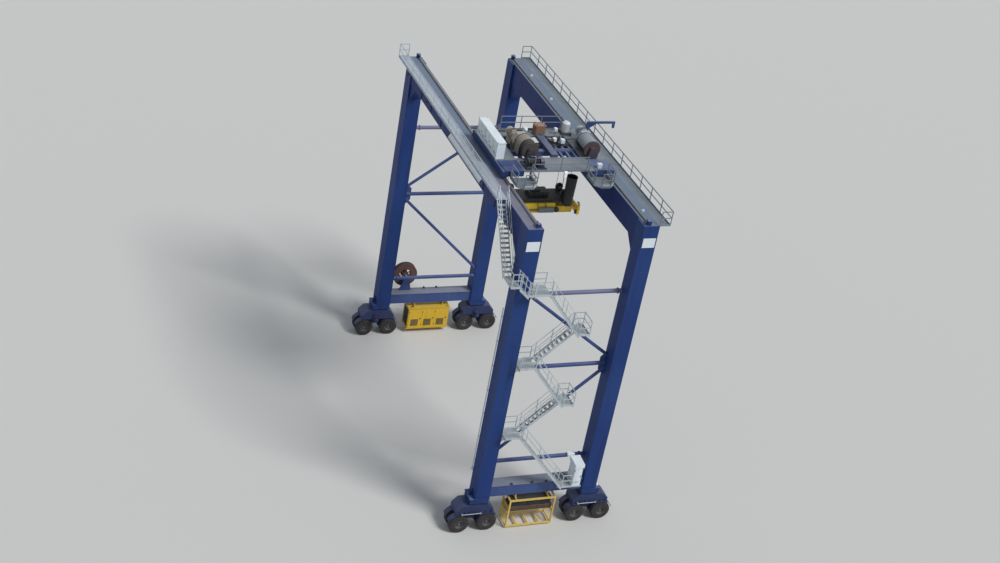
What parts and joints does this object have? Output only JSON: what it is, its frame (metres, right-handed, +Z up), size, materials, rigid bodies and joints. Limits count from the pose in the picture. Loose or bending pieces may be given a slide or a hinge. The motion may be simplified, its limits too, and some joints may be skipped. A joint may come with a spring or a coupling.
{
  "type": "rubber tyred gantry crane",
  "caption": "Rubber tyred gantry crane on swivelling wheel bogies, with girders, end bracing, stairs, travelling trolley, rope hoist and telescoping container spreader.",
  "frame": {"origin": "centre of the crane's plan outline, at ground level under the tyres", "axes": "+X along the crane's own travel, to the right seen from the stair side; +Y along the trolley's travel, away from the stairs; +Z up"},
  "size_m": [12.7552, 28.0806, 26.8798],
  "materials": {
    "blue_paint": "semi-gloss, chalked",
    "galvanised": "dull zinc",
    "rail_steel": "worn, rusty sides",
    "white_paint": "semi-gloss",
    "yellow_paint": "semi-gloss, worn",
    "grey_paint": "satin, greasy",
    "brown_steel": "primer and rust",
    "dark_steel": "satin, greasy",
    "tyre_rubber": "matt, dusty",
    "wire_rope": "greased"
  },
  "bodies": {
    "portal": {"left_girder": "blue_paint", "right_girder": "blue_paint", "near_left_leg": "blue_paint", "near_right_leg": "blue_paint", "far_left_leg": "blue_paint", "far_right_leg": "blue_paint", "near_sill": "blue_paint", "far_sill": "blue_paint", "near_bracing": "blue_paint", "far_bracing": "blue_paint", "trolley_rails": "rail_steel", "left_walkway": "galvanised", "right_walkway": "galvanised", "girder_stair": "galvanised", "stair_tower": "galvanised", "stair_treads": "galvanised", "sill_cabinet": "white_paint", "equipment_cage": "yellow_paint", "cage_unit": "dark_steel", "power_pack": "yellow_paint"},
    "near_left_bogie": {"near_left_bogie": "blue_paint"},
    "near_left_wheels_a": {"near_left_wheels_a": "tyre_rubber"},
    "near_left_wheels_b": {"near_left_wheels_b": "tyre_rubber"},
    "near_right_bogie": {"near_right_bogie": "blue_paint"},
    "near_right_wheels_a": {"near_right_wheels_a": "tyre_rubber"},
    "near_right_wheels_b": {"near_right_wheels_b": "tyre_rubber"},
    "far_left_bogie": {"far_left_bogie": "blue_paint"},
    "far_left_wheels_a": {"far_left_wheels_a": "tyre_rubber"},
    "far_left_wheels_b": {"far_left_wheels_b": "tyre_rubber"},
    "far_right_bogie": {"far_right_bogie": "blue_paint"},
    "far_right_wheels_a": {"far_right_wheels_a": "tyre_rubber"},
    "far_right_wheels_b": {"far_right_wheels_b": "tyre_rubber"},
    "trolley": {"trolley_frame": "blue_paint", "trolley_deck": "galvanised", "trolley_cabinet": "white_paint", "hoist_machinery": "grey_paint", "trolley_equipment": "grey_paint", "hoist_ropes": "wire_rope"},
    "left_drum": {"left_drum": "brown_steel"},
    "right_drum": {"right_drum": "brown_steel"},
    "hoist_load": {"headblock": "dark_steel", "spreader_frame": "yellow_paint"},
    "left_spreader_end": {"left_spreader_end": "yellow_paint"},
    "right_spreader_end": {"right_spreader_end": "yellow_paint"},
    "cable_reel": {"cable_reel": "brown_steel"}
  },
  "joints": [
    {"name": "near_left_swivel", "type": "hinge", "parent": "portal", "child": "near_left_bogie", "pos_m": [-4.51, -12.8, 2.45], "axis": [0, 0, 1], "range_deg": [0, 90]},
    {"name": "near_left_wheels_a_axle", "type": "hinge", "parent": "near_left_bogie", "child": "near_left_wheels_a", "pos_m": [-5.56, -12.8, 0.75], "axis": [0, 1, 0], "continuous": true},
    {"name": "near_left_wheels_b_axle", "type": "hinge", "parent": "near_left_bogie", "child": "near_left_wheels_b", "pos_m": [-3.46, -12.8, 0.75], "axis": [0, 1, 0], "continuous": true},
    {"name": "near_right_swivel", "type": "hinge", "parent": "portal", "child": "near_right_bogie", "pos_m": [4.51, -12.8, 2.45], "axis": [0, 0, 1], "range_deg": [0, 90]},
    {"name": "near_right_wheels_a_axle", "type": "hinge", "parent": "near_right_bogie", "child": "near_right_wheels_a", "pos_m": [3.46, -12.8, 0.75], "axis": [0, 1, 0], "continuous": true},
    {"name": "near_right_wheels_b_axle", "type": "hinge", "parent": "near_right_bogie", "child": "near_right_wheels_b", "pos_m": [5.56, -12.8, 0.75], "axis": [0, 1, 0], "continuous": true},
    {"name": "far_left_swivel", "type": "hinge", "parent": "portal", "child": "far_left_bogie", "pos_m": [-4.51, 12.8, 2.45], "axis": [0, 0, 1], "range_deg": [0, 90]},
    {"name": "far_left_wheels_a_axle", "type": "hinge", "parent": "far_left_bogie", "child": "far_left_wheels_a", "pos_m": [-5.56, 12.8, 0.75], "axis": [0, 1, 0], "continuous": true},
    {"name": "far_left_wheels_b_axle", "type": "hinge", "parent": "far_left_bogie", "child": "far_left_wheels_b", "pos_m": [-3.46, 12.8, 0.75], "axis": [0, 1, 0], "continuous": true},
    {"name": "far_right_swivel", "type": "hinge", "parent": "portal", "child": "far_right_bogie", "pos_m": [4.51, 12.8, 2.45], "axis": [0, 0, 1], "range_deg": [0, 90]},
    {"name": "far_right_wheels_a_axle", "type": "hinge", "parent": "far_right_bogie", "child": "far_right_wheels_a", "pos_m": [3.46, 12.8, 0.75], "axis": [0, 1, 0], "continuous": true},
    {"name": "far_right_wheels_b_axle", "type": "hinge", "parent": "far_right_bogie", "child": "far_right_wheels_b", "pos_m": [5.56, 12.8, 0.75], "axis": [0, 1, 0], "continuous": true},
    {"name": "trolley_travel", "type": "slide", "parent": "portal", "child": "trolley", "axis": [0, 1, 0], "range_m": [-5.7, 11.9]},
    {"name": "hoist", "type": "slide", "parent": "trolley", "child": "hoist_load", "axis": [0, 0, 1], "range_m": [-18.1, 0.8], "deforming": ["hoist_ropes"]},
    {"name": "left_drum_turn", "type": "hinge", "parent": "trolley", "child": "left_drum", "pos_m": [-1.65, -4.25, 26.27], "axis": [0, 1, 0], "continuous": true},
    {"name": "right_drum_turn", "type": "hinge", "parent": "trolley", "child": "right_drum", "pos_m": [3.05, -4.15, 26.27], "axis": [0, 1, 0], "continuous": true},
    {"name": "right_telescope", "type": "slide", "parent": "hoist_load", "child": "right_spreader_end", "axis": [1, 0, 0], "range_m": [0, 3.067]},
    {"name": "left_telescope", "type": "slide", "parent": "hoist_load", "child": "left_spreader_end", "axis": [-1, 0, 0], "range_m": [0, 3.067]},
    {"name": "cable_reel_turn", "type": "hinge", "parent": "portal", "child": "cable_reel", "pos_m": [-2.15, 13.6, 5.05], "axis": [0, 1, 0], "continuous": true}
  ],
  "couplings": [
    {"joint": "left_telescope", "follows": "right_telescope", "ratio": 1}
  ]
}
